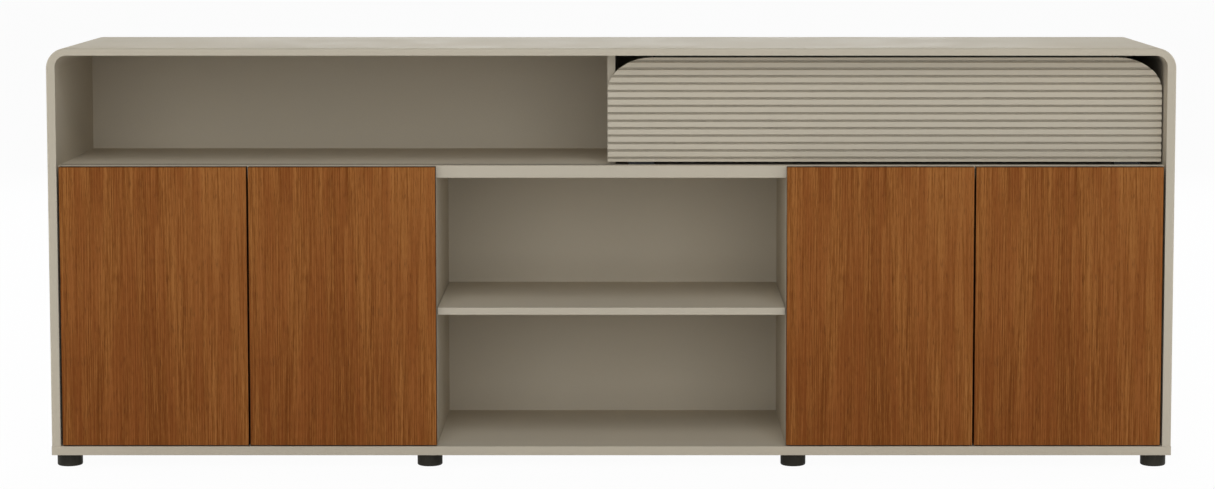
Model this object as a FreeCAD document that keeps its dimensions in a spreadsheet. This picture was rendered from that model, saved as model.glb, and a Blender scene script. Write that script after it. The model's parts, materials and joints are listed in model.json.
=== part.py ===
"""Long low credenza: a round-shouldered painted case on short feet, four push-open veneered doors
on concealed hinges, an open centre bay, an upper tier with a niche and a reeded sliding panel.

Frame: millimetres, +Z up, the front faces -Y, the origin lies on the floor under the middle.
"""
import FreeCAD
import Part
import Sketcher
import math
import os

SIZES = (
    # case
    ("width", 2000),
    ("depth", 400),
    ("height", 750),
    ("side_thick", 16),
    ("top_thick", 13),
    ("bottom_thick", 16),
    ("deck_thick", 22),
    ("partition_thick", 16),
    ("divider_thick", 14),
    ("back_thick", 12),
    ("back_inset", 8),
    ("corner_outer", 36),
    ("corner_inner", 20),
    ("shoulder_land", 4),
    ("case_arris", 5),
    ("board_arris", 0.8),
    ("deck_height", 540),
    ("bay_width", 623),
    # feet
    ("foot_diameter", 45),
    ("foot_height", 22),
    ("foot_rounding", 3),
    ("foot_side_inset", 27.5),
    ("foot_front_inset", 30),
    ("foot_rear_inset", 42),
    ("foot_bay_offset", 6.5),
    ("foot_spigot", 8),
    ("foot_spigot_diameter", 10),
    # loose shelves on pins
    ("shelf_thick", 13),
    ("shelf_height", 285),
    ("shelf_end_gap", 1),
    ("shelf_back_gap", 1),
    ("cupboard_shelf_setback", 60),
    ("pin_diameter", 5),
    ("pin_bury", 6),
    ("pin_reach", 8),
    ("pin_inset", 48),
    # doors
    ("door_thick", 18),
    ("door_back_gap", 3),
    ("door_side_gap", 4),
    ("door_pair_gap", 3),
    ("door_foot_gap", 2),
    ("door_head_drop", 1),
    ("door_reveal", 0.5),
    # concealed hinges: u runs from the hinge edge across the door, v from its face into the case
    ("hinge_inset", 70),
    ("cup_diameter", 35),
    ("cup_depth", 11.5),
    ("cup_tab", 5),
    ("cup_wall", 1.7),
    ("cup_floor", 1.5),
    ("ear_span", 50),
    ("ear_width", 13),
    ("ear_thick", 1.2),
    ("cup_pivot_u", 16),
    ("cup_pivot_v", 15.6),
    ("arm_pivot_u", 42),
    ("arm_pivot_v", 22.5),
    ("pivot_diameter", 2),
    ("pivot_fit", 0.05),
    ("pivot_grip", 2),
    ("eye_radius", 2.1),
    ("link_width", 12.8),
    ("link_thick", 2.2),
    ("fork_play", 0.4),
    ("fork_cheek", 2),
    ("arm_thick", 2.5),
    ("arm_crank", 36),
    ("arm_length", 78),
    ("plate_thick", 3),
    ("plate_height", 48),
    ("plate_margin", 5),
    # push latches under the deck
    ("latch_offset", 28),
    ("latch_width", 16),
    ("latch_height", 14),
    ("latch_length", 62),
    ("latch_setback", 4),
    ("latch_bore_depth", 46),
    ("plunger_diameter", 8),
    ("plunger_length", 38),
    ("plunger_fit", 0.08),
    ("plunger_head", 10),
    ("plunger_head_thick", 2),
    ("plunger_touch", 0.4),
    # reeded sliding panel, its tracks, glides and guides
    ("panel_thick", 18),
    ("panel_setback", 37),
    ("panel_end_gap", 3),
    ("panel_foot_gap", 5.5),
    ("panel_head_gap", 5.5),
    ("panel_lap_short", 0.5),
    ("divider_gap", 3),
    # its upper corners, as shares of the panel's height: a tight curve at the end, a wide one above
    ("corner_run_share", 0.4213),
    ("corner_rise_share", 0.3307),
    ("corner_end_share", 0.2827),
    ("corner_crown_share", 0.5067),
    ("corner_turn_run_share", 0.1077),
    ("corner_turn_rise_share", 0.2219),
    # its grooves, as shares of their pitch
    ("groove_count", 14),
    ("groove_depth_share", 0.325),
    ("groove_mouth_share", 0.37),
    ("groove_floor_share", 0.22),
    ("groove_shoulder_share", 0.6),
    ("track_width", 8),
    ("track_depth", 6),
    ("track_wall", 1.2),
    ("runner_play", 0.3),
    ("glide_length", 46),
    ("glide_width", 7.5),
    ("glide_rise", 14),
    ("runner_inset", 60),
    ("guide_diameter", 5),
    ("guide_bury", 16),
)

doc = FreeCAD.newDocument("credenza")
sheet = doc.addObject("Spreadsheet::Sheet", "Sizes")
for row, (alias, number) in enumerate(SIZES, start=1):
    sheet.set(f"A{row}", alias)
    sheet.set(f"B{row}", str(number))
    sheet.setAlias(f"B{row}", alias)
doc.recompute()


class Dim:
    """A length that carries its number and the sheet formula that gives it."""

    def __init__(self, text, value):
        self.text = text
        self.value = value

    def __add__(self, other):
        other = dim(other)
        return Dim(f"({self.text} + {other.text})", self.value + other.value)

    def __sub__(self, other):
        other = dim(other)
        return Dim(f"({self.text} - {other.text})", self.value - other.value)

    def __mul__(self, other):
        other = dim(other)
        return Dim(f"({self.text} * {other.text})", self.value * other.value)

    def __truediv__(self, other):
        other = dim(other)
        return Dim(f"({self.text} / {other.text})", self.value / other.value)

    def __neg__(self):
        return self * -1


def dim(number):
    return number if isinstance(number, Dim) else Dim(f"{number:g}", float(number))


def size(alias):
    return Dim(f"Sizes.{alias}", float(sheet.get(alias)))


def slope(rise, run):
    return Dim(f"atan({rise.text} / {run.text})", math.degrees(math.atan2(rise.value, run.value)))


def bind(item, prop, length):
    item.setExpression(prop, length.text)


def box(x, y, z):
    """A block between two places on each axis, given in either order."""
    block = doc.addObject("Part::Box", "Block")
    for prop, axis, ends in (("Length", "x", x), ("Width", "y", y), ("Height", "z", z)):
        low, high = sorted((dim(end) for end in ends), key=lambda end: end.value)
        bind(block, prop, high - low)
        bind(block, f"Placement.Base.{axis}", low)
    return block


def rod(axis, diameter, across, along):
    """A cylinder along one axis: its centre on the other two axes, and its two ends."""
    turn = {"x": ((0, 1, 0), 90), "y": ((1, 0, 0), -90), "z": ((0, 0, 1), 0)}[axis]
    low, high = sorted((dim(end) for end in along), key=lambda end: end.value)
    round_bar = doc.addObject("Part::Cylinder", "Rod")
    turning = FreeCAD.Rotation(FreeCAD.Vector(*turn[0]), turn[1])
    round_bar.Placement = FreeCAD.Placement(FreeCAD.Vector(), turning)
    bind(round_bar, "Radius", diameter / 2)
    bind(round_bar, "Height", high - low)
    others = [name for name in "xyz" if name != axis]
    for name, centre in zip(others, across):
        bind(round_bar, f"Placement.Base.{name}", dim(centre))
    bind(round_bar, f"Placement.Base.{axis}", low)
    return round_bar


def fuse(*pieces):
    joined = doc.addObject("Part::MultiFuse", "Joined")
    joined.Shapes = list(pieces)
    return joined


def cut(base, *tools):
    trimmed = doc.addObject("Part::Cut", "Trimmed")
    trimmed.Base = base
    trimmed.Tool = tools[0] if len(tools) == 1 else fuse(*tools)
    return trimmed


def common(first, second):
    shared = doc.addObject("Part::Common", "Shared")
    shared.Base = first
    shared.Tool = second
    return shared


def group(*pieces):
    bundle = doc.addObject("Part::Compound", "Bundle")
    bundle.Links = list(pieces)
    return bundle


def soften(base, radius, chosen):
    """Round the edges for which chosen(edge) is true."""
    doc.recompute()
    picked = [i for i, edge in enumerate(base.Shape.Edges, start=1) if chosen(edge)]
    rounded = doc.addObject("Part::Fillet", "Softened")
    rounded.Base = base
    rounded.Edges = [(i, radius.value, radius.value) for i in picked]
    return rounded


def origin_item(body, role):
    return next(item for item in body.Origin.OriginFeatures if item.Role == role)


def draw(sketch, outline):
    """Close an outline of corners (a, b, bulge): bulge is the radius of the arc to the next corner,
    positive where the arc swells to the right of the way round, and None for a straight run."""
    starts = []
    for corner, following in zip(outline, outline[1:] + outline[:1]):
        p = FreeCAD.Vector(corner[0].value, corner[1].value, 0)
        q = FreeCAD.Vector(following[0].value, following[1].value, 0)
        if corner[2] is None:
            index = sketch.addGeometry(Part.LineSegment(p, q), False)
        else:
            chord = q - p
            radius = abs(corner[2].value)
            sagitta = radius - math.sqrt(max(radius ** 2 - (chord.Length / 2) ** 2, 0))
            right = FreeCAD.Vector(chord.y, -chord.x, 0).normalize()
            swell = (p + q) / 2 + right * math.copysign(sagitta, corner[2].value)
            index = sketch.addGeometry(Part.Arc(p, swell, q), False)
            number = sketch.addConstraint(Sketcher.Constraint("Radius", index, radius))
            sketch.setExpression(f"Constraints[{number}]", f"abs({corner[2].text})")
        first_is_start = (sketch.getPoint(index, 1) - p).Length < (sketch.getPoint(index, 2) - p).Length
        starts.append((index, 1, 2) if first_is_start else (index, 2, 1))
    for (a, b, _), (index, start, _), (before, _, end) in zip(outline, starts, starts[-1:] + starts[:-1]):
        sketch.addConstraint(Sketcher.Constraint("Coincident", before, end, index, start))
        for kind, place in (("DistanceX", a), ("DistanceY", b)):
            number = sketch.addConstraint(Sketcher.Constraint(kind, -1, 1, index, start, place.value))
            sketch.setExpression(f"Constraints[{number}]", place.text)


def profile(plane, outline):
    body = doc.addObject("PartDesign::Body", "Body")
    sketch = body.newObject("Sketcher::SketchObject", "Outline")
    sketch.AttachmentSupport = (origin_item(body, f"{plane}_Plane"), [""])
    sketch.MapMode = "FlatFace"
    draw(sketch, outline)
    return body, sketch


def pad(plane, outline, ends):
    """An outline on an origin plane, carried between two places along the third axis."""
    body, sketch = profile(plane, outline)
    low, high = sorted(ends, key=lambda end: end.value)
    swept = body.newObject("PartDesign::Pad", "Pad")
    swept.Profile = sketch
    bind(swept, "Length", high - low)
    axis = {"XY": "z", "XZ": "y", "YZ": "x"}[plane]
    bind(body, f"Placement.Base.{axis}", high if plane == "XZ" else low)
    return body


def turned(outline, x, y):
    """An outline of radius and height, turned once round a vertical axis at x, y."""
    body, sketch = profile("XZ", outline)
    spun = body.newObject("PartDesign::Revolution", "Turned")
    spun.Profile = sketch
    spun.ReferenceAxis = (sketch, ["V_Axis"])
    spun.Angle = 360
    bind(body, "Placement.Base.x", x)
    bind(body, "Placement.Base.y", y)
    return body


nodes = {}


def node(name, piece):
    piece.Label = name
    nodes[name] = piece
    return piece


# planes and levels of the case
half_width = size("width") / 2
front = -size("depth") / 2
rear = size("depth") / 2
inner_half = half_width - size("side_thick")
shoulder_x = half_width - size("corner_outer") - size("shoulder_land")
shoulder_z = size("height") - size("corner_outer") - size("shoulder_land")
ceiling = size("height") - size("top_thick")
floor_low = size("foot_height")
floor_top = floor_low + size("bottom_thick")
deck_top = size("deck_height")
deck_low = deck_top - size("deck_thick")
inner_front = front + size("door_thick") + size("door_back_gap")
back_rear = rear - size("back_inset")
back_face = back_rear - size("back_thick")
bay_half = size("bay_width") / 2
partition_outer = bay_half + size("partition_thick")

# the panel runs in the middle of its own thickness, on tracks let into the deck and the top
panel_face = front + size("panel_setback")
panel_rear = panel_face + size("panel_thick")
track_y = panel_face + size("panel_thick") / 2
divider_half = size("divider_thick") / 2
panel_left = -divider_half + size("panel_lap_short")
panel_right = inner_half - size("panel_end_gap")
panel_low = deck_top + size("panel_foot_gap")
panel_high = ceiling - size("panel_head_gap")


def on_front(edge):
    return all(abs(v.Y - front.value) < 0.001 for v in edge.Vertexes)


def beside(span):
    return (track_y - span / 2, track_y + span / 2)


# top board with the guide groove in its underside, and the front arris eased
top_board = box((-shoulder_x, shoulder_x), (front, rear), (ceiling, size("height")))
top_eased = soften(
    top_board,
    size("case_arris"),
    lambda edge: on_front(edge) and all(v.Z > ceiling.value + 1 for v in edge.Vertexes),
)
upper_seat = (ceiling, ceiling + size("track_depth"))
node("top_panel", cut(top_eased, box((-shoulder_x, shoulder_x), beside(size("track_width")), upper_seat)))

side_boards = {}
for side, hand in (("left", -1), ("right", 1)):
    outer_x = half_width * hand
    face_x = inner_half * hand
    turn_x = shoulder_x * hand
    inner_x = (inner_half - size("corner_inner")) * hand
    inner_z = ceiling - size("corner_inner")
    arc_x = (half_width - size("corner_outer")) * hand
    arc_z = size("height") - size("corner_outer")

    # quarter-round shoulder between side and top, thicker where the two meet it
    shoulder = [
        (outer_x, shoulder_z, None),
        (face_x, shoulder_z, None),
        (face_x, inner_z, size("corner_inner") * hand),
        (inner_x, ceiling, None),
        (turn_x, ceiling, None),
        (turn_x, size("height"), None),
        (arc_x, size("height"), size("corner_outer") * -hand),
        (outer_x, arc_z, None),
    ]
    rail = pad("XZ", shoulder, (front, rear))
    outer_arc = lambda edge: on_front(edge) and edge.Curve.TypeId == "Part::GeomCircle" and (
        abs(edge.Curve.Radius - size("corner_outer").value) < 0.001
    )
    node(f"{side}_corner_rail", soften(rail, size("case_arris"), outer_arc))

    side_boards[side] = soften(
        box((outer_x, face_x), (front, rear), (floor_top, shoulder_z)),
        size("case_arris"),
        lambda edge: on_front(edge) and all(abs(v.X - outer_x.value) < 0.001 for v in edge.Vertexes),
    )


# bottom board under both sides, with a hole for each foot's spigot
foot_rows = (front + size("foot_front_inset"), rear - size("foot_rear_inset"))
foot_bay_x = bay_half + size("foot_bay_offset") + size("partition_thick") / 2
foot_side_x = half_width - size("foot_side_inset")
foot_places = [(x, y) for y in foot_rows for x in (-foot_side_x, -foot_bay_x, foot_bay_x, foot_side_x)]
spigot_top = floor_low + size("foot_spigot")
spigot_span = (floor_low, spigot_top)
spigot_holes = [rod("z", size("foot_spigot_diameter"), place, spigot_span) for place in foot_places]
bottom_board = soften(
    box((-half_width, half_width), (front, rear), (floor_low, floor_top)),
    size("board_arris"),
    on_front,
)
node("bottom_panel", cut(bottom_board, *spigot_holes))


def foot(x, y):
    """A turned plastic glide with a rounded tread and a spigot pressed into the bottom board."""
    radius = size("foot_diameter") / 2
    spigot = size("foot_spigot_diameter") / 2
    axis = dim(0)
    outline = [
        (axis, dim(0), None),
        (radius - size("foot_rounding"), dim(0), size("foot_rounding")),
        (radius, size("foot_rounding"), None),
        (radius, floor_low, None),
        (spigot, floor_low, None),
        (spigot, spigot_top, None),
        (axis, spigot_top, None),
    ]
    return turned(outline, x, y)


node("feet", group(*[foot(x, y) for x, y in foot_places]))

# long deck between the tiers, with the lower track's groove
deck = soften(
    box((-inner_half, inner_half), (inner_front, back_face), (deck_low, deck_top)),
    size("board_arris"),
    lambda edge: all(abs(v.Y - inner_front.value) < 0.001 for v in edge.Vertexes),
)
lower_seat = (deck_top - size("track_depth"), deck_top)
node("long_shelf", cut(deck, box((-inner_half, inner_half), beside(size("track_width")), lower_seat)))

node(
    "niche_divider",
    box((-divider_half, divider_half), (panel_rear + size("divider_gap"), back_face), (deck_top, ceiling)),
)

back_corner = size("corner_inner")
back_outline = [
    (-inner_half, floor_top, None),
    (inner_half, floor_top, None),
    (inner_half, ceiling - back_corner, back_corner),
    (inner_half - back_corner, ceiling, None),
    (-inner_half + back_corner, ceiling, back_corner),
    (-inner_half, ceiling - back_corner, None),
]
node("back_panel", pad("XZ", back_outline, (back_face, back_rear)))

# loose shelves, each on four pins in holes of the boards beside it
shelf_top = size("shelf_height")
shelf_low = shelf_top - size("shelf_thick")
pin_z = shelf_low - size("pin_diameter") / 2
pin_rear = back_face - size("pin_inset")
bays = {
    "centre": (-bay_half, bay_half, inner_front),
    "left": (-inner_half, -partition_outer, inner_front + size("cupboard_shelf_setback")),
    "right": (partition_outer, inner_half, inner_front + size("cupboard_shelf_setback")),
}
pin_holes = {}
for bay, (low_x, high_x, shelf_front) in bays.items():
    shelf = soften(
        box(
            (low_x + size("shelf_end_gap"), high_x - size("shelf_end_gap")),
            (shelf_front, back_face - size("shelf_back_gap")),
            (shelf_low, shelf_top),
        ),
        size("board_arris"),
        lambda edge: all(abs(v.Y - shelf_front.value) < 0.001 for v in edge.Vertexes),
    )
    node(f"{bay}_shelf", shelf)
    pins = []
    for wall_x, inward in ((low_x, 1), (high_x, -1)):
        bury = wall_x - size("pin_bury") * inward
        reach = wall_x + size("pin_reach") * inward
        for y in (shelf_front + size("pin_inset"), pin_rear):
            pins.append(rod("x", size("pin_diameter"), (y, pin_z), (bury, reach)))
            hole = rod("x", size("pin_diameter"), (y, pin_z), (bury, wall_x))
            pin_holes.setdefault((bay, inward), []).append(hole)
    node(f"{bay}_shelf_pins", group(*pins))

for side, hand, holes in (
    ("left", -1, pin_holes["left", -1] + pin_holes["centre", 1]),
    ("right", 1, pin_holes["right", 1] + pin_holes["centre", -1]),
):
    board = box((bay_half * hand, partition_outer * hand), (inner_front, back_face), (floor_top, deck_low))
    node(f"{side}_partition", cut(board, *holes))
    node(f"{side}_side_panel", cut(side_boards[side], *pin_holes[side, -hand]))

# doors on concealed hinges: an arm on the case, a link, and a cup let into the door
door_low = floor_top + size("door_foot_gap")
door_high = deck_top - size("door_head_drop")
door_outer = inner_half - size("door_side_gap")
door_inner = bay_half + size("door_reveal")
door_mid = (door_outer + door_inner) / 2
door_free_outer = door_mid + size("door_pair_gap") / 2
door_free_inner = door_mid - size("door_pair_gap") / 2
hinge_heights = (door_low + size("hinge_inset"), door_high - size("hinge_inset"))
cup_u = size("cup_tab") + size("cup_diameter") / 2
cup_back = front + size("door_thick")
cup_front = cup_back - size("cup_depth")
pocket_half = size("link_width") / 2 + size("fork_play")
fork_half = pocket_half + size("fork_cheek")
link_run = size("arm_pivot_u") - size("cup_pivot_u")
link_rise = size("arm_pivot_v") - size("cup_pivot_v")
link_length = Dim(
    f"sqrt({link_run.text} ^ 2 + {link_rise.text} ^ 2)",
    math.hypot(link_run.value, link_rise.value),
)
pivot_hole = size("pivot_diameter") + size("pivot_fit") * 2


def about(z, half):
    return (z - half, z + half)


def hinge_cup(at, z):
    """A die-cast cup with a slot for the link, two ears on the door's back, and a cross hole."""
    slot_radius = size("cup_diameter") / 2 - size("cup_wall")
    cup = rod("y", size("cup_diameter") - size("pivot_fit") * 2, (at(cup_u), z), (cup_front, cup_back))
    ear = box(
        (at(cup_u - size("ear_width") / 2), at(cup_u + size("ear_width") / 2)),
        (cup_back, cup_back + size("ear_thick")),
        about(z, size("ear_span") / 2),
    )
    floor_y = cup_front + size("cup_floor")
    slot_round = rod("y", slot_radius * 2, (at(cup_u), z), (floor_y, cup_back + size("ear_thick")))
    slot_band = box(
        (at(cup_u - slot_radius), at(cup_u + slot_radius)),
        (floor_y, cup_back + size("ear_thick")),
        about(z, pocket_half),
    )
    # the ears stop short of the arm's fork, which passes between them
    fork_way = box(
        (at(cup_u - size("ear_width")), at(cup_u + size("ear_width"))),
        (cup_back, cup_back + size("ear_thick")),
        about(z, fork_half + size("fork_play")),
    )
    bore = rod(
        "z",
        pivot_hole,
        (at(size("cup_pivot_u")), front + size("cup_pivot_v")),
        about(z, pocket_half + size("pivot_grip")),
    )
    return cut(fuse(cup, ear), common(slot_round, slot_band), fork_way, bore)


def cup_pin(at, z):
    centre = (at(size("cup_pivot_u")), front + size("cup_pivot_v"))
    return rod("z", size("pivot_diameter"), centre, about(z, pocket_half + size("pivot_grip")))


def arm_pin(at, z):
    centre = (at(size("arm_pivot_u")), front + size("arm_pivot_v"))
    return rod("z", size("pivot_diameter"), centre, about(z, fork_half))


def hinge_link(at, hand, z):
    """A flat link with an eye at each end, laid from one pivot to the other."""
    eye = size("eye_radius") * 2
    ends = about(dim(0), size("link_width") / 2)
    bar = box((dim(0), link_length), about(dim(0), size("link_thick") / 2), ends)
    eyes = [rod("z", eye, (place, dim(0)), ends) for place in (dim(0), link_length)]
    holes = [rod("z", pivot_hole, (place, dim(0)), ends) for place in (dim(0), link_length)]
    link = cut(fuse(bar, *eyes), *holes)
    pivot = "cup_pivot" if hand > 0 else "arm_pivot"
    link.Placement.Rotation.Axis = FreeCAD.Vector(0, 0, 1)
    bind(link, "Placement.Rotation.Angle", slope(link_rise, link_run) * hand)
    bind(link, "Placement.Base.x", at(size(f"{pivot}_u")))
    bind(link, "Placement.Base.y", front + size(f"{pivot}_v"))
    bind(link, "Placement.Base.z", z)
    return link


def hinge_arm(at, hand, mount_u, z):
    """A cranked arm from the plate on the board to a fork round the link's eye."""
    foot_u = mount_u + size("plate_thick")
    eye_low = size("arm_pivot_u") - size("eye_radius")
    eye_high = size("arm_pivot_u") + size("eye_radius")
    eye_y = front + size("arm_pivot_v")
    crank_front = front + size("arm_crank")
    crank_rear = crank_front + size("arm_thick")
    tail = front + size("arm_length")
    outline = [
        (at(foot_u), tail, None),
        (at(foot_u), crank_front, None),
        (at(eye_low), crank_front, None),
        (at(eye_low), eye_y, size("eye_radius") * hand),
        (at(size("arm_pivot_u")), eye_y - size("eye_radius"), size("eye_radius") * hand),
        (at(eye_high), eye_y, None),
        (at(eye_high), crank_rear, None),
        (at(foot_u + size("arm_thick")), crank_rear, None),
        (at(foot_u + size("arm_thick")), tail, None),
    ]
    strip = pad("XY", outline, about(z, fork_half))
    reach = size("eye_radius") + size("fork_play")
    mouth = box(
        (at(eye_low - 1), at(eye_high + 1)),
        (eye_y - reach, eye_y + reach),
        about(z, pocket_half),
    )
    bore = rod("z", pivot_hole, (at(size("arm_pivot_u")), eye_y), about(z, fork_half))
    return cut(strip, mouth, bore)


def hinge_plate(at, mount_u, z):
    start = front + size("arm_crank") + size("plate_margin")
    end = front + size("arm_length") + size("plate_margin")
    thickness = (at(mount_u), at(mount_u + size("plate_thick")))
    return box(thickness, (start, end), about(z, size("plate_height") / 2))


latch_front = inner_front + size("latch_setback")
latch_z = deck_low - size("latch_height") / 2
plunger_tip = cup_back + size("plunger_touch")
plunger_bore = size("plunger_diameter") + size("plunger_fit") * 2


def latch_housing(x):
    length = (latch_front, latch_front + size("latch_length"))
    bore = (latch_front, latch_front + size("latch_bore_depth"))
    body = box(about(x, size("latch_width") / 2), length, about(latch_z, size("latch_height") / 2))
    return cut(body, rod("y", plunger_bore, (x, latch_z), bore))


def plunger(x):
    head_end = plunger_tip + size("plunger_head_thick")
    head = rod("y", size("plunger_head"), (x, latch_z), (plunger_tip, head_end))
    stem_end = plunger_tip + size("plunger_length")
    return fuse(head, rod("y", size("plunger_diameter"), (x, latch_z), (head_end, stem_end)))


arms = []
arm_pins = []
plates = []
latches = []
# name, way from the hinge edge to the free edge, hinge edge, free edge, mounting face
doors = (
    ("far_left", 1, -door_outer, -door_free_outer, -size("door_side_gap")),
    ("mid_left", -1, -door_inner, -door_free_inner, size("partition_thick") - size("door_reveal")),
    ("mid_right", 1, door_inner, door_free_inner, size("partition_thick") - size("door_reveal")),
    ("far_right", -1, door_outer, door_free_outer, -size("door_side_gap")),
)
for name, hand, hinge_x, free_x, mount_u in doors:
    def at(u, hinge_x=hinge_x, hand=hand):
        return hinge_x + dim(u) * hand

    leaf = soften(
        box((hinge_x, free_x), (front, cup_back), (door_low, door_high)),
        size("board_arris"),
        lambda edge: on_front(edge),
    )
    bores = [rod("y", size("cup_diameter"), (at(cup_u), z), (cup_front, cup_back)) for z in hinge_heights]
    node(f"{name}_door", cut(leaf, *bores))
    node(f"{name}_hinge_cups", group(*[hinge_cup(at, z) for z in hinge_heights]))
    node(f"{name}_cup_pins", group(*[cup_pin(at, z) for z in hinge_heights]))
    node(f"{name}_hinge_links", group(*[hinge_link(at, hand, z) for z in hinge_heights]))
    arms += [hinge_arm(at, hand, mount_u, z) for z in hinge_heights]
    arm_pins += [arm_pin(at, z) for z in hinge_heights]
    plates += [hinge_plate(at, mount_u, z) for z in hinge_heights]
    latch_x = free_x - size("latch_offset") * hand
    latches.append(latch_housing(latch_x))
    node(f"{name}_latch_plunger", plunger(latch_x))
node("hinge_arms", group(*arms))
node("hinge_arm_pins", group(*arm_pins))
node("hinge_plates", group(*plates))
node("latch_housings", group(*latches))

# reeded panel: a board with round upper corners, grooved along its face
panel_width = panel_right - panel_left
panel_height = panel_high - panel_low
corner_run = panel_height * size("corner_run_share")
corner_rise = panel_height * size("corner_rise_share")
corner_end = panel_height * size("corner_end_share")
corner_crown = panel_height * size("corner_crown_share")
turn_run = panel_height * size("corner_turn_run_share")
turn_z = panel_high - corner_rise + panel_height * size("corner_turn_rise_share")
panel_outline = [
    (panel_left, panel_low, None),
    (panel_right, panel_low, None),
    (panel_right, panel_high - corner_rise, corner_end),
    (panel_right - turn_run, turn_z, corner_crown),
    (panel_right - corner_run, panel_high, None),
    (panel_left + corner_run, panel_high, corner_crown),
    (panel_left + turn_run, turn_z, corner_end),
    (panel_left, panel_high - corner_rise, None),
]
panel = pad("XZ", panel_outline, (panel_face, panel_rear))
groove_pitch = panel_height / size("groove_count")
groove_z = panel_low + groove_pitch / 2
face = -size("panel_thick")
floor = face + groove_pitch * size("groove_depth_share")
mouth = groove_pitch * size("groove_mouth_share") / 2
flat = groove_pitch * size("groove_floor_share") / 2
lip = groove_pitch * size("groove_shoulder_share")
groove = panel.newObject("Sketcher::SketchObject", "Groove")
groove.AttachmentSupport = (origin_item(panel, "YZ_Plane"), [""])
groove.MapMode = "FlatFace"
draw(groove, [
    (face - 1, groove_z - mouth, None),
    (face, groove_z - mouth, -lip),
    (floor, groove_z - flat, None),
    (floor, groove_z + flat, -lip),
    (face, groove_z + mouth, None),
    (face - 1, groove_z + mouth, None),
])
flute = panel.newObject("PartDesign::Pocket", "Flute")
flute.Profile = groove
flute.Type = "ThroughAll"
flute.Midplane = True
flutes = panel.newObject("PartDesign::LinearPattern", "Flutes")
flutes.Originals = [flute]
flutes.Direction = (origin_item(panel, "Z_Axis"), [""])
bind(flutes, "Length", groove_pitch * (size("groove_count") - 1))
bind(flutes, "Occurrences", size("groove_count"))
panel.Tip = flutes

# nylon glides let into the panel's lower edge, and guide pins in its upper edge
track_floor = deck_top - size("track_depth") + size("track_wall")
track_roof = ceiling + size("track_depth") - size("track_wall")
tongue = size("track_width") - size("track_wall") * 2 - size("runner_play") * 2
runner_places = (panel_left + size("runner_inset"), panel_right - size("runner_inset"))
guide_run = corner_run + size("guide_diameter")
guide_places = (panel_left + guide_run, panel_right - guide_run)
glides = []
guides = []
seats = []
for x in runner_places:
    span = about(x, size("glide_length") / 2)
    socket = box(span, beside(size("glide_width")), (panel_low, panel_low + size("glide_rise")))
    seats.append(socket)
    block = box(span, beside(size("glide_width")), (panel_low, panel_low + size("glide_rise")))
    glides.append(fuse(block, box(span, beside(tongue), (track_floor + size("runner_play"), panel_low))))
for x in guide_places:
    hole = (panel_high - size("guide_bury"), panel_high)
    seats.append(rod("z", size("guide_diameter"), (x, track_y), hole))
    guide_top = track_roof - size("runner_play")
    guides.append(rod("z", size("guide_diameter"), (x, track_y), (hole[0], guide_top)))
node("fluted_panel", cut(panel, *seats))
node("panel_glides", group(*glides))
node("panel_guide_pins", group(*guides))


def track(length_half, seat, hollow):
    """An aluminium channel that fills its groove, open towards the panel."""
    solid = box((-length_half, length_half), beside(size("track_width")), seat)
    inside = beside(size("track_width") - size("track_wall") * 2)
    return cut(solid, box((-length_half, length_half), inside, hollow))


node("lower_track", track(inner_half, lower_seat, (track_floor, deck_top)))
node("upper_track", track(shoulder_x, upper_seat, (ceiling, track_roof)))

doc.recompute()
faulty = [item.Name for item in doc.Objects if {"Invalid", "Error"} & set(item.State)]
if faulty:
    raise RuntimeError(f"failed features: {faulty}")
for name, piece in nodes.items():
    if piece.Shape.isNull() or not piece.Shape.isValid():
        raise RuntimeError(f"bad shape: {name}")

os.makedirs("parts", exist_ok=True)
for name, piece in nodes.items():
    piece.Shape.exportStep(f"parts/{name}.step")
print(f"{len(nodes)} parts written")
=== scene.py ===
import json
import math

import bpy
from mathutils import Matrix, Vector


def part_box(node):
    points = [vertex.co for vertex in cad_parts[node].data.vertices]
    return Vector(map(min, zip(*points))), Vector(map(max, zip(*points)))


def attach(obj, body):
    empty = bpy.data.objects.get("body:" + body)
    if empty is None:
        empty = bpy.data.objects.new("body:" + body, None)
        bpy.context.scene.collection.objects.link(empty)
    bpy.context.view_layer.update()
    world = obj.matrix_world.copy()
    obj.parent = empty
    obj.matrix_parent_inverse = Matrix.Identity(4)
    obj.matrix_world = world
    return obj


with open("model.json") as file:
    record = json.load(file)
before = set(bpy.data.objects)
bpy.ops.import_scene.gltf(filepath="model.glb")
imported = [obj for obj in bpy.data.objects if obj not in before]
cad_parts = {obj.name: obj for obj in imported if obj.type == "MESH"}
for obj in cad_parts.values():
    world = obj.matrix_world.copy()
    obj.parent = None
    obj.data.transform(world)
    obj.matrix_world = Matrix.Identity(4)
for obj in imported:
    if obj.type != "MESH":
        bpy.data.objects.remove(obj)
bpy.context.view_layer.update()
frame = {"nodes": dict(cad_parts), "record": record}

# view of the photograph, in metres and degrees
CAMERA_PLACE = (0.0365, -5.6127, 1.0389)
CAMERA_TILT_DOWN = 4.905
CAMERA_LENS = 90.86
CAMERA_SENSOR = 36.0
CAMERA_SHIFT = (-0.02, -0.08)

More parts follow.
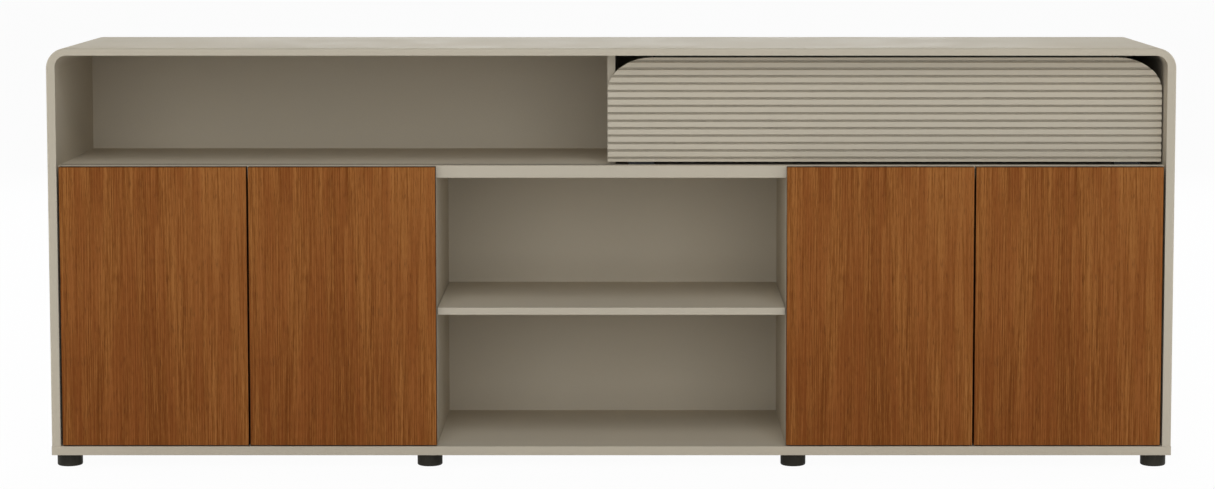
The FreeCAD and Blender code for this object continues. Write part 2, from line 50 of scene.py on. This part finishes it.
# colours of the finishes, linear
TAUPE = (0.544, 0.477, 0.372)
TAUPE_WARM = (0.561, 0.487, 0.376)
TAUPE_WEAR_AND_SHEEN = (0.589, 0.520, 0.414)
VENEER_DARK = (0.167, 0.0462, 0.0070)
VENEER_MID = (0.249, 0.083, 0.0155)
VENEER_LIGHT = (0.344, 0.130, 0.0308)
VENEER_RUDDY = (0.289, 0.080, 0.0169)
PORE = (0.077, 0.0219, 0.0043)
LIPPING = (0.030, 0.011, 0.0035)
FOOT_BLACK = (0.0222, 0.0200, 0.0148)
ANODISED = (0.014, 0.0138, 0.0132)
NICKEL = (0.64, 0.63, 0.60)
NYLON = (0.016, 0.016, 0.015)
LATCH_GREY = (0.27, 0.265, 0.255)
PAPER_WHITE = (1.0, 1.0, 1.0)

# sizes in the finishes, in metres
PAINT_EDGE = 0.0025
PLASTIC_EDGE = 0.001
METAL_EDGE = 0.0006
PEEL_HEIGHT = 0.0006
FIBRE_HEIGHT = 0.0004
PEBBLE_HEIGHT = 0.0003
DRAWN_LINE_HEIGHT = 0.0001
GROOVE_LIP = 0.0005
GROOVE_FLOOR = 0.0041
GROOVE_BEHIND = 0.0049
GRAIN_WANDER = 0.012
LEAF_TO_LEAF = 0.9
PAINTED_LIGHT_RIGHTWARD = (0.13, 0.27)
PAINTED_LIGHT_UPWARD = (0.12, 0.40)

# a noise keeps near 0.5, so a change of tone runs over one of these parts of its range
NARROW = (0.38, 0.62)
USUAL = (0.35, 0.65)
WIDE = (0.30, 0.70)

DOORS = ("far_left", "mid_left", "mid_right", "far_right")


def scaled(colour, factor):
    return tuple(channel * factor for channel in colour)


class Field:
    """A shader value that can be added, subtracted and multiplied."""

    def __init__(self, finish, socket):
        self.finish = finish
        self.socket = socket

    def maths(self, operation, first, second):
        return self.finish.node("ShaderNodeMath", {"operation": operation}, {0: first, 1: second})

    def __add__(self, other):
        return self.maths("ADD", self, other)

    def __radd__(self, other):
        return self.maths("ADD", other, self)

    def __sub__(self, other):
        return self.maths("SUBTRACT", self, other)

    def __rsub__(self, other):
        return self.maths("SUBTRACT", other, self)

    def __mul__(self, other):
        return self.maths("MULTIPLY", self, other)

    def __rmul__(self, other):
        return self.maths("MULTIPLY", other, self)


class Finish:
    """The nodes of a material or a world in the making."""

    def __init__(self, owner):
        owner.use_nodes = True
        self.owner = owner
        self.tree = owner.node_tree
        self.tree.nodes.clear()

    def node(self, kind, settings=None, sockets=None, out=0):
        """A new node with its settings and sockets, as a field of the output that is asked for."""
        made = self.tree.nodes.new(kind)
        for name, value in (settings or {}).items():
            if name == "stops":
                ramp = made.color_ramp.elements
                while len(ramp) < len(value):
                    ramp.new(1.0)
                for stop, (place, colour) in zip(ramp, value):
                    stop.position = place
                    stop.color = (*colour, 1.0)
            else:
                setattr(made, name, value)
        for name, value in (sockets or {}).items():
            if isinstance(value, Field):
                self.tree.links.new(value.socket, made.inputs[name])
            elif isinstance(value, tuple) and len(value) == 3 and made.inputs[name].type == "RGBA":
                made.inputs[name].default_value = (*value, 1.0)
            else:
                made.inputs[name].default_value = value
        return Field(self, made.outputs[out]) if made.outputs else None

    def place(self, move=(0.0, 0.0, 0.0), stretch=(1.0, 1.0, 1.0)):
        """A piece's own coordinates, moved and stretched."""
        own = self.node("ShaderNodeTexCoord", out="Object")
        return self.node("ShaderNodeMapping", None, {"Vector": own, "Location": move, "Scale": stretch})

    def along(self, axis, vector):
        return self.node("ShaderNodeSeparateXYZ", None, {"Vector": vector}, axis)

    def noise(self, vector, per_metre=1.0, detail=2.0, rough=0.5):
        return self.node(
            "ShaderNodeTexNoise",
            None,
            {"Vector": vector, "Scale": per_metre, "Detail": detail, "Roughness": rough},
        )

    def span(self, value, part, to=(0.0, 1.0)):
        """A smooth step from one value to another over a part of the range."""
        return self.node(
            "ShaderNodeMapRange",
            {"interpolation_type": "SMOOTHSTEP"},
            {"Value": value, "From Min": part[0], "From Max": part[1], "To Min": to[0], "To Max": to[1]},
        )

    def mix(self, amount, first, second):
        """Two colours mixed. The node's colour sockets go by number, as others share their names."""
        return self.node("ShaderNodeMix", {"data_type": "RGBA"}, {0: amount, 6: first, 7: second}, out=2)

    def bump(self, height, strength, distance):
        return self.node(
            "ShaderNodeBump",
            None,
            {"Height": height, "Strength": strength, "Distance": distance},
        )

    def edges(self, radius):
        """One along sharp edges and nothing on flats."""
        eased = self.node("ShaderNodeBevel", {"samples": 4}, {"Radius": radius})
        flat = self.node("ShaderNodeNewGeometry", out="Normal")
        dot = {"operation": "DOT_PRODUCT"}
        agree = self.node("ShaderNodeVectorMath", dot, {0: eased, 1: flat}, out="Value")
        return self.span(1.0 - agree, (0.02, 0.22))

    def seen(self):
        """One for the camera and for mirrored or transmitted views, and nothing for diffuse light."""
        eye = self.node("ShaderNodeLightPath", out="Is Camera Ray")
        for ray in ("Is Glossy Ray", "Is Transmission Ray"):
            also = self.node("ShaderNodeLightPath", out=ray)
            eye = self.node("ShaderNodeMath", {"operation": "MAXIMUM"}, {0: eye, 1: also})
        return eye

    def close(self, colour, roughness, normal, constants):
        """The finished material, with the values that are the same all over it."""
        varying = {"Base Color": colour, "Roughness": roughness, "Normal": normal}
        shader = self.node("ShaderNodeBsdfPrincipled", None, {**varying, **constants})
        self.node("ShaderNodeOutputMaterial", None, {"Surface": shader})
        return self.owner


def new_finish(name):
    return Finish(bpy.data.materials.new(name))


def case_paint(name, grooved=False):
    """Satin taupe lacquer: a slow drift of tone, a fine orange peel, edges paler by wear and painted
    highlight.

    On the reeded panel, shade is painted in: it darkens towards the floors of the grooves.
    """
    f = new_finish(name)
    drift = f.noise(f.place(), per_metre=2.3, detail=3.0)
    peel = f.noise(f.place(), per_metre=430.0)
    speck = f.noise(f.place(), per_metre=1300.0, detail=1.0)
    rub = f.noise(f.place(), per_metre=9.0, detail=4.0, rough=0.6)
    scuff = f.noise(f.place(), per_metre=60.0, detail=4.0, rough=0.65)
    tone = f.span(drift * 0.7 + speck * 0.3, NARROW)
    # paler edges: partly wear, partly a painted highlight along the arrises
    wear_and_sheen = f.edges(PAINT_EDGE) * f.span(scuff, USUAL, to=(0.35, 1.0))
    colour = f.mix(wear_and_sheen * 0.5, f.mix(tone, TAUPE, TAUPE_WARM), TAUPE_WEAR_AND_SHEEN)
    # painted shade: the colour darkens from the lips of the grooves down to their floors
    if grooved:
        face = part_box("fluted_panel")[0].y
        depth = f.along("Y", f.place((0.0, -face, 0.0)))
        below_lip = f.span(depth, (GROOVE_LIP, GROOVE_FLOOR))
        before_floor = f.span(depth, (GROOVE_FLOOR, GROOVE_BEHIND), to=(1.0, 0.0))
        shade = f.span(scuff, WIDE, to=(0.42, 0.58))
        colour = f.mix(below_lip * before_floor * shade, colour, scaled(TAUPE, 0.50))
    return f.close(
        colour,
        f.span(rub * 0.7 + scuff * 0.3, USUAL, to=(0.62, 0.76)) - wear_and_sheen * 0.10,
        f.bump(peel + speck * 0.4, 0.30, PEEL_HEIGHT),
        {"Specular IOR Level": 0.05},
    )


def door_veneer(name, leaf):
    """Straight-grained warm brown veneer with fine lines, fibre and short dark pores.

    The doors are laid with neighbouring leaves of one log: their lines run alike, straying a little from
    leaf to leaf. Each door has painted light, paler to the right and above. Their edges have a dark
    lipping.
    """
    f = new_finish(f"{name}_veneer")
    wander = f.noise(f.place((LEAF_TO_LEAF * leaf, 0.0, 0.0), (2.2, 1.0, 1.1))) * GRAIN_WANDER
    left_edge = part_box(name)[0].x
    from_left = f.along("X", f.place((-left_edge, 0.0, 0.0)))
    depth = f.along("Y", f.place())
    height = f.along("Z", f.place())
    across = from_left + depth * 0.8 + wander

    def streaks(across_per_metre, along_per_metre, detail=2.0, rough=0.55):
        drawn_out = {"X": across * across_per_metre, "Y": height * along_per_metre}
        return f.noise(f.node("ShaderNodeCombineXYZ", None, drawn_out), detail=detail, rough=rough)

    drift = streaks(7.0, 1.4)
    bands = streaks(34.0, 0.7)
    lines = streaks(520.0, 4.4, detail=3.0, rough=0.7)
    fibre = streaks(900.0, 11.0)
    flecks = streaks(1100.0, 60.0, detail=1.0)
    pores = f.span(streaks(760.0, 34.0, rough=0.6), (0.58, 0.70))
    # painted light: each door is made paler towards its right edge and towards its top
    painted_light = f.span(from_left, PAINTED_LIGHT_RIGHTWARD) * 0.10 + f.span(height, PAINTED_LIGHT_UPWARD) * 0.075
    figure = painted_light + drift * 0.22 + bands * 0.34 + lines * 1.34 + fibre * 0.70 + flecks * 0.42 - 1.090
    body = f.node(
        "ShaderNodeValToRGB",
        {"stops": ((0.34, VENEER_DARK), (0.50, VENEER_MID), (0.66, VENEER_LIGHT))},
        {"Fac": figure},
    )
    ruddy = f.span(streaks(38.0, 2.4), (0.40, 0.62)) * 0.50
    body = f.mix(ruddy, body, f.mix(lines, VENEER_DARK, VENEER_RUDDY))
    facing = f.along("Y", f.node("ShaderNodeTexCoord", out="Normal"))
    lipping = 1.0 - f.span(facing * facing, (0.5, 0.9))
    return f.close(
        f.mix(lipping, f.mix(pores * 0.6, body, PORE), f.mix(fibre, LIPPING, PORE)),
        f.span(fibre, WIDE, to=(0.46, 0.58)),
        f.bump(fibre * 0.6 - pores * 0.8, 0.10, FIBRE_HEIGHT),
        {"Specular IOR Level": 0.06},
    )


def moulded_plastic(name, colour, paler, roughness, grain, sheen):
    """Plastic with a pebbled skin, a cloudy tone and rubbed edges."""
    f = new_finish(name)
    cloud = f.noise(f.place(), per_metre=30.0, detail=3.0)
    pebble = f.noise(f.place(), per_metre=grain)
    return f.close(
        f.mix(f.span(cloud, USUAL) * 0.7 + f.edges(PLASTIC_EDGE) * 0.3, colour, paler),
        f.span(pebble, WIDE, to=(roughness - 0.06, roughness + 0.06)),
        f.bump(pebble, 0.15, PEBBLE_HEIGHT),
        {"Specular IOR Level": sheen},
    )


def drawn_metal(name, colour, paler, roughness, stretch):
    """Metal with fine lines along its length, faint stains and brighter rubbed edges."""
    f = new_finish(name)
    lines = f.noise(f.place(stretch=stretch))
    stain = f.noise(f.place(), per_metre=22.0, detail=3.0)
    rubbed = f.edges(METAL_EDGE)
    dulled = f.span(lines * 0.5 + stain * 0.5, USUAL, to=(roughness - 0.04, roughness + 0.04))
    return f.close(
        f.mix(f.span(lines * 0.4 + stain * 0.6, USUAL) * 0.7 + rubbed * 0.3, colour, paler),
        dulled - rubbed * 0.05,
        f.bump(lines, 0.03, DRAWN_LINE_HEIGHT),
        {"Metallic": 1.0},
    )


finishes = {
    "case_paint": case_paint("taupe_lacquer"),
    "foot_plastic": moulded_plastic("black_foot", FOOT_BLACK, scaled(FOOT_BLACK, 1.6), 0.60, 900.0, 0.12),
    "track_aluminium": drawn_metal(
        "black_anodised_track", ANODISED, scaled(ANODISED, 1.5), 0.48, (6.0, 900.0, 900.0)
    ),
    "runner_nylon": moulded_plastic("black_nylon", NYLON, scaled(NYLON, 1.3), 0.45, 600.0, 0.25),
    "latch_plastic": moulded_plastic("grey_latch", LATCH_GREY, scaled(LATCH_GREY, 1.15), 0.5, 700.0, 0.35),
    "hinge_steel": drawn_metal("nickel_plate", NICKEL, scaled(NICKEL, 1.10), 0.30, (1600.0, 1600.0, 220.0)),
}
slots = {row["node"]: row["material_slot"] for row in frame["record"]["subparts"]}
own_finishes = {"fluted_panel": case_paint("reed_lacquer", grooved=True)}
for leaf, door in enumerate(DOORS):
    own_finishes[f"{door}_door"] = door_veneer(f"{door}_door", leaf)
for name, piece in frame["nodes"].items():
    piece.data.materials.clear()
    piece.data.materials.append(own_finishes.get(name) or finishes[slots[name]])


# screws: one head is modelled, and its copies are set where the fittings and the back are fixed
SCREW_RADIUS = 0.0031
SCREW_HEIGHT = 0.0010
SCREW_ROUNDING = 0.0006
SCREW_SIDES = 28
CROSS_LENGTH = 0.0038
CROSS_WIDTH = 0.0008
SMOOTH_BELOW = math.radians(30.0)
TURN_PER_SCREW = math.radians(37.0)
CUP_EAR_REACH = 0.025
CUP_SCREW_RISE = 0.0205
PLATE_THICKNESS = 0.003
PLATE_SCREW_RISE = 0.017
LATCH_SCREW_INSET = 0.008
BACK_ROW_SCREWS = 9
BACK_ROW_STEP = 0.23
PARTITION_SCREW_HEIGHTS = (0.09, 0.24, 0.39)
DIVIDER_SCREW_HEIGHTS = (0.60, 0.69)


def screw_head():
    """A low pan head with a cross recess, standing on the origin."""
    bpy.ops.object.select_all(action="DESELECT")
    bpy.ops.mesh.primitive_cylinder_add(
        vertices=SCREW_SIDES,
        radius=SCREW_RADIUS,
        depth=SCREW_HEIGHT,
        location=(0.0, 0.0, SCREW_HEIGHT / 2),
    )
    head = bpy.context.object
    bpy.ops.object.transform_apply(location=True, rotation=True, scale=True)
    bpy.ops.object.mode_set(mode="EDIT")
    bpy.ops.mesh.select_all(action="DESELECT")
    bpy.ops.mesh.select_mode(type="FACE")
    bpy.ops.object.mode_set(mode="OBJECT")
    for face in head.data.polygons:
        face.select = face.normal.z > 0.9
    bpy.ops.object.mode_set(mode="EDIT")
    bpy.ops.mesh.bevel(offset=SCREW_ROUNDING, segments=3, affect="EDGES")
    bpy.ops.object.mode_set(mode="OBJECT")
    for length, width in ((CROSS_LENGTH, CROSS_WIDTH), (CROSS_WIDTH, CROSS_LENGTH)):
        bpy.ops.object.select_all(action="DESELECT")
        bpy.ops.mesh.primitive_cube_add(size=1.0, location=(0.0, 0.0, SCREW_HEIGHT))
        blade = bpy.context.object
        blade.scale = (length, width, SCREW_HEIGHT)
        bpy.ops.object.transform_apply(location=True, rotation=True, scale=True)
        bpy.ops.object.select_all(action="DESELECT")
        head.select_set(True)
        bpy.context.view_layer.objects.active = head
        recess = head.modifiers.new("recess", "BOOLEAN")
        recess.operation = "DIFFERENCE"
        recess.solver = "EXACT"
        recess.object = blade
        bpy.ops.object.modifier_apply(modifier=recess.name)
        bpy.data.objects.remove(blade)
    bpy.ops.object.shade_smooth_by_angle(angle=SMOOTH_BELOW)
    return head


def set_screws(head, name, body, facing, places):
    """Copies of the head at these places, facing one way, joined to one piece that rides on a body."""
    bpy.ops.object.select_all(action="DESELECT")
    aim = Vector(facing).to_track_quat("Z", "Y").to_matrix().to_4x4()
    for number, place in enumerate(places):
        copy = head.copy()
        copy.data = head.data.copy()
        bpy.context.scene.collection.objects.link(copy)
        spin = Matrix.Rotation(TURN_PER_SCREW * number, 4, "Z")
        copy.data.transform(Matrix.Translation(place) @ aim @ spin)
        copy.select_set(True)
        bpy.context.view_layer.objects.active = copy
    bpy.ops.object.join()
    screws = bpy.context.object
    screws.name = name
    screws.data.materials.clear()
    screws.data.materials.append(finishes["hinge_steel"])
    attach(screws, body)


def middle(node):
    low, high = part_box(node)
    return (low + high) / 2


def pairs(x, y, heights, rise):
    """Places for a screw below and a screw above each of these heights."""
    return [(x, y, height + offset) for height in heights for offset in (-rise, rise)]


head = screw_head()
walls = ("left_side_panel", "left_partition", "right_partition", "right_side_panel")
for door, wall, way in zip(DOORS, walls, (1.0, -1.0, 1.0, -1.0)):
    cups_low, cups_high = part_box(f"{door}_hinge_cups")
    heights = (cups_low.z + CUP_EAR_REACH, cups_high.z - CUP_EAR_REACH)
    cup_places = pairs(middle(f"{door}_hinge_cups").x, cups_high.y, heights, CUP_SCREW_RISE)
    set_screws(head, f"{door}_cup_screws", f"{door}_door", (0.0, 1.0, 0.0), cup_places)
    wall_low, wall_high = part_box(wall)
    plate_face = (wall_high.x if way > 0.0 else wall_low.x) + way * PLATE_THICKNESS
    plate_places = pairs(plate_face, middle("hinge_plates").y, heights, PLATE_SCREW_RISE)
    set_screws(head, f"{door}_plate_screws", "carcass", (way, 0.0, 0.0), plate_places)

latches_low, latches_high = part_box("latch_housings")
latch_places = [
    (middle(f"{door}_latch_plunger").x, latches_high.y - LATCH_SCREW_INSET, latches_low.z)
    for door in DOORS
]
set_screws(head, "latch_screws", "carcass", (0.0, 0.0, -1.0), latch_places)

back_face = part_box("back_panel")[1].y
row_start = -BACK_ROW_STEP * (BACK_ROW_SCREWS - 1) / 2
back_places = [
    (row_start + BACK_ROW_STEP * step, back_face, middle("long_shelf").z)
    for step in range(BACK_ROW_SCREWS)
]
for upright, heights in (
    ("left_partition", PARTITION_SCREW_HEIGHTS),
    ("right_partition", PARTITION_SCREW_HEIGHTS),
    ("niche_divider", DIVIDER_SCREW_HEIGHTS),
):
    back_places += [(middle(upright).x, back_face, height) for height in heights]
set_screws(head, "back_screws", "carcass", (0.0, 1.0, 0.0), back_places)
bpy.data.objects.remove(head)


# stage: a pale floor under a soft white surround
FLOOR_SIDE = 80.0
WHITE_SHARE = 0.965
SURROUND_LIGHT = 0.168
LAMP_WHITE = (0.965, 1.005, 1.045)
CASE_MIDDLE = (0.0, 0.0, 0.4)
bpy.ops.object.select_all(action="DESELECT")
bpy.ops.mesh.primitive_plane_add(size=FLOOR_SIDE, location=(0.0, 0.0, 0.0))
floor = bpy.context.object
floor.name = "studio_floor"


def floor_paper():
    """White paper: to the eye nearly white all over, with the object's soft shadow left on it."""
    f = new_finish("white_paper")
    fleck = f.noise(f.place(), per_metre=40.0)
    tone = f.mix(f.span(fleck, WIDE), scaled(PAPER_WHITE, 0.93), scaled(PAPER_WHITE, 0.95))
    lit = f.node("ShaderNodeBsdfDiffuse", None, {"Color": tone})
    bright = f.node("ShaderNodeEmission", None, {"Color": PAPER_WHITE, "Strength": 1.0})
    surface = f.node("ShaderNodeMixShader", None, {0: f.seen() * WHITE_SHARE, 1: lit, 2: bright})
    f.node("ShaderNodeOutputMaterial", None, {"Surface": surface})
    return f.owner


def white_surround():
    """A dim dome that lights the object, and white to the eye."""
    f = Finish(bpy.data.worlds.new("studio"))
    dome = f.node("ShaderNodeBackground", None, {"Color": LAMP_WHITE, "Strength": SURROUND_LIGHT})
    bright = f.node("ShaderNodeBackground", None, {"Color": PAPER_WHITE, "Strength": 1.0})
    surface = f.node("ShaderNodeMixShader", None, {0: f.seen(), 1: dome, 2: bright})
    f.node("ShaderNodeOutputWorld", None, {"Surface": surface})
    return f.owner


floor.data.materials.append(floor_paper())
bpy.context.scene.world = white_surround()

# soft boxes: name, place, aim, width and height in metres, watts
for name, place, aim, width, height, watts in (
    ("overhead", (0.0, 1.4, 3.6), (0.0, 0.1, 0.75), 3.0, 3.0, 4.0),
    ("left_fill", (-4.2, 0.9, 1.8), CASE_MIDDLE, 2.4, 2.4, 75.0),
    ("right_fill", (4.2, 0.9, 1.8), CASE_MIDDLE, 2.4, 2.4, 75.0),
    ("rear_fill", (0.0, 5.0, 1.9), CASE_MIDDLE, 3.0, 3.0, 105.0),
    ("camera_side", (0.0, -8.0, 2.3), CASE_MIDDLE, 9.5, 3.6, 207.0),
    ("high_front", (0.1, -3.4, 3.9), CASE_MIDDLE, 2.6, 2.6, 73.0),
):
    lamp = bpy.data.lights.new(name, "AREA")
    lamp.shape = "RECTANGLE"
    lamp.size = width
    lamp.size_y = height
    lamp.energy = watts
    lamp.color = LAMP_WHITE
    holder = bpy.data.objects.new(name, lamp)
    bpy.context.scene.collection.objects.link(holder)
    holder.location = place
    holder.rotation_euler = (Vector(aim) - Vector(place)).to_track_quat("-Z", "Y").to_euler()
    holder.visible_camera = False

# camera
eye = bpy.data.cameras.new("photo_view")
eye.lens = CAMERA_LENS
eye.sensor_width = CAMERA_SENSOR
eye.shift_x, eye.shift_y = CAMERA_SHIFT
camera = bpy.data.objects.new("photo_view", eye)
bpy.context.scene.collection.objects.link(camera)
camera.location = CAMERA_PLACE
camera.rotation_euler = (math.radians(90.0 - CAMERA_TILT_DOWN), 0.0, 0.0)
bpy.context.scene.camera = camera
bpy.context.scene.view_settings.view_transform = "Standard"
